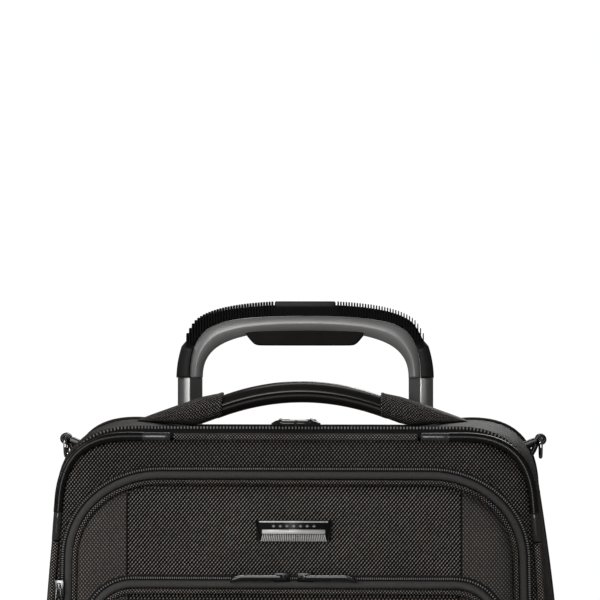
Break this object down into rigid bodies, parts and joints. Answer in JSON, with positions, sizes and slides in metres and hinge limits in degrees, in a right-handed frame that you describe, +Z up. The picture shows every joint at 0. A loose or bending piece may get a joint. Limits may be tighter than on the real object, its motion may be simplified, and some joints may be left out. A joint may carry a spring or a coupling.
{
  "type": "softside upright suitcase",
  "caption": "Softside cabin suitcase standing on wheels and feet, with a zipped lid, nested front pockets, carry handles and a telescoping pull handle.",
  "frame": {"origin": "on the floor under the middle of the bounding box", "axes": "+Z up, -Y towards the lid and pockets, +X to the right when facing the lid"},
  "size_m": [0.393, 0.23, 0.634],
  "materials": {
    "ballistic_nylon": "coarse two-by-two basket weave, slightly glossy yarns",
    "lining_fabric": "plain smooth lining",
    "twill_tape": "fine twill, matte",
    "zipper_coil": "moulded coil on woven tape",
    "guard_rubber": "satin moulded rubber",
    "moulded_plastic": "fine-textured moulded plastic",
    "handle_leather": "smooth coated leather-like wrap",
    "trolley_aluminium": "satin anodised",
    "outer_tube_steel": "plain",
    "grip_pewter": "satin pewter paint",
    "bright_metal": "polished plating",
    "dark_metal": "dark nickel plating",
    "wheel_tyre": "matte with light scuffing",
    "wheel_plastic": "semi-gloss moulded hub"
  },
  "bodies": {
    "case": {"main_gusset": "ballistic_nylon", "rear_panel": "ballistic_nylon", "lining_panel": "lining_fabric", "inner_frame": "moulded_plastic", "rear_piping": "guard_rubber", "main_zipper_case_side": "zipper_coil", "wheel_housing_left": "moulded_plastic", "wheel_housing_right": "moulded_plastic", "axle_left": "outer_tube_steel", "axle_right": "outer_tube_steel", "front_foot_left": "moulded_plastic", "front_foot_right": "moulded_plastic", "kick_plate": "moulded_plastic", "trolley_outer_tube_left": "outer_tube_steel", "trolley_outer_tube_right": "outer_tube_steel", "trolley_handle_cup": "moulded_plastic", "trolley_base_bracket": "moulded_plastic", "side_handle": "handle_leather", "carry_handle_sleeve_left": "ballistic_nylon", "carry_handle_sleeve_right": "ballistic_nylon", "ring_loop_left": "handle_leather", "ring_loop_right": "handle_leather"},
    "lid": {"lid_panel": "ballistic_nylon", "lid_piping_top": "twill_tape", "lid_piping_sides": "twill_tape", "main_zipper_lid_side": "zipper_coil", "corner_guard_left": "guard_rubber", "corner_guard_right": "guard_rubber", "pocket_1_zip_frame": "zipper_coil"},
    "pocket_1": {"pocket_1_panel": "ballistic_nylon", "pocket_1_zip_band": "twill_tape", "badge_frame": "dark_metal", "badge_plate": "bright_metal"},
    "pocket_2": {"pocket_2_panel": "ballistic_nylon", "pocket_2_zip_band": "twill_tape"},
    "trolley_lower": {"trolley_lower_tube_left": "trolley_aluminium", "trolley_lower_tube_right": "trolley_aluminium"},
    "trolley_upper": {"trolley_upper_tube_left": "trolley_aluminium", "trolley_upper_tube_right": "trolley_aluminium", "trolley_grip_core": "grip_pewter", "trolley_grip_rubber": "guard_rubber", "trolley_grip_pad": "handle_leather"},
    "release_button": {"release_button": "moulded_plastic"},
    "carry_handle": {"carry_handle_grip": "handle_leather"},
    "wheel_left": {"wheel_tyre_left": "wheel_tyre", "wheel_hub_left": "wheel_plastic"},
    "d_ring_left": {"d_ring_left": "bright_metal"},
    "main_zip_slider_left": {"main_zip_slider_left": "dark_metal"},
    "main_zip_pull_left": {"main_zip_pull_left": "dark_metal"},
    "pocket_2_slider_left": {"pocket_2_slider_left": "dark_metal"},
    "pocket_2_pull_left": {"pocket_2_pull_left": "dark_metal"},
    "wheel_right": {"wheel_tyre_right": "wheel_tyre", "wheel_hub_right": "wheel_plastic"},
    "d_ring_right": {"d_ring_right": "bright_metal"},
    "main_zip_slider_right": {"main_zip_slider_right": "dark_metal"},
    "main_zip_pull_right": {"main_zip_pull_right": "dark_metal"},
    "pocket_2_slider_right": {"pocket_2_slider_right": "dark_metal"},
    "pocket_2_pull_right": {"pocket_2_pull_right": "dark_metal"},
    "pocket_1_slider": {"pocket_1_slider": "bright_metal"},
    "pocket_1_pull": {"pocket_1_pull": "bright_metal"}
  },
  "joints": [
    {"name": "lid_hinge", "type": "hinge", "parent": "case", "child": "lid", "pos_m": [-0.0065, -0.075, 0.04], "axis": [1, 0, 0], "range_deg": [0, 90]},
    {"name": "pocket_1_hinge", "type": "hinge", "parent": "lid", "child": "pocket_1", "pos_m": [-0.0065, -0.0808, 0.058], "axis": [1, 0, 0], "range_deg": [0, 60]},
    {"name": "pocket_2_hinge", "type": "hinge", "parent": "pocket_1", "child": "pocket_2", "pos_m": [-0.0065, -0.1017, 0.076], "axis": [1, 0, 0], "range_deg": [0, 50]},
    {"name": "trolley_lower_slide", "type": "slide", "parent": "case", "child": "trolley_lower", "axis": [0, 0, 1], "range_m": [0, 0.215]},
    {"name": "trolley_upper_slide", "type": "slide", "parent": "trolley_lower", "child": "trolley_upper", "axis": [0, 0, 1], "range_m": [-0.085, 0.182]},
    {"name": "release_button_press", "type": "slide", "parent": "trolley_upper", "child": "release_button", "axis": [0, 0, -1], "range_m": [0, 0.0035], "stiffness_N_per_m": 600, "springref_m": -0.002},
    {"name": "carry_handle_lift", "type": "slide", "parent": "case", "child": "carry_handle", "axis": [0, 0, 1], "range_m": [0, 0.018]},
    {"name": "wheel_spin_left", "type": "hinge", "parent": "case", "child": "wheel_left", "pos_m": [-0.1565, 0.083, 0.032], "axis": [1, 0, 0], "continuous": true},
    {"name": "d_ring_swing_left", "type": "hinge", "parent": "case", "child": "d_ring_left", "pos_m": [-0.18, 0.045, 0.533], "axis": [0, 1, 0], "range_deg": [0, 150]},
    {"name": "main_zip_slide_left", "type": "slide", "parent": "case", "child": "main_zip_slider_left", "axis": [-1, 0, 0], "range_m": [0, 0.095]},
    {"name": "main_zip_pull_flip_left", "type": "hinge", "parent": "main_zip_slider_left", "child": "main_zip_pull_left", "pos_m": [-0.01575, -0.0595, 0.5495], "axis": [1, 0, 0], "range_deg": [0, 90]},
    {"name": "pocket_2_zip_slide_left", "type": "slide", "parent": "pocket_1", "child": "pocket_2_slider_left", "axis": [-1, 0, 0], "range_m": [0, 0.09]},
    {"name": "pocket_2_pull_flip_left", "type": "hinge", "parent": "pocket_2_slider_left", "child": "pocket_2_pull_left", "pos_m": [-0.0145, -0.1075, 0.446], "axis": [0, 0, 1], "range_deg": [0, 90]},
    {"name": "wheel_spin_right", "type": "hinge", "parent": "case", "child": "wheel_right", "pos_m": [0.1435, 0.083, 0.032], "axis": [1, 0, 0], "continuous": true},
    {"name": "d_ring_swing_right", "type": "hinge", "parent": "case", "child": "d_ring_right", "pos_m": [0.167, 0.045, 0.533], "axis": [0, -1, 0], "range_deg": [0, 150]},
    {"name": "main_zip_slide_right", "type": "slide", "parent": "case", "child": "main_zip_slider_right", "axis": [1, 0, 0], "range_m": [0, 0.095]},
    {"name": "main_zip_pull_flip_right", "type": "hinge", "parent": "main_zip_slider_right", "child": "main_zip_pull_right", "pos_m": [0.00275, -0.0595, 0.5495], "axis": [1, 0, 0], "range_deg": [0, 90]},
    {"name": "pocket_2_zip_slide_right", "type": "slide", "parent": "pocket_1", "child": "pocket_2_slider_right", "axis": [1, 0, 0], "range_m": [0, 0.09]},
    {"name": "pocket_2_pull_flip_right", "type": "hinge", "parent": "pocket_2_slider_right", "child": "pocket_2_pull_right", "pos_m": [0.0015, -0.1075, 0.446], "axis": [0, 0, -1], "range_deg": [0, 90]},
    {"name": "pocket_1_zip_slide", "type": "slide", "parent": "lid", "child": "pocket_1_slider", "axis": [0, 0, -1], "range_m": [-0.02, 0.33]},
    {"name": "pocket_1_pull_flip", "type": "hinge", "parent": "pocket_1_slider", "child": "pocket_1_pull", "pos_m": [-0.169, -0.0885, 0.436], "axis": [-1, 0, 0], "range_deg": [0, 120]}
  ]
}
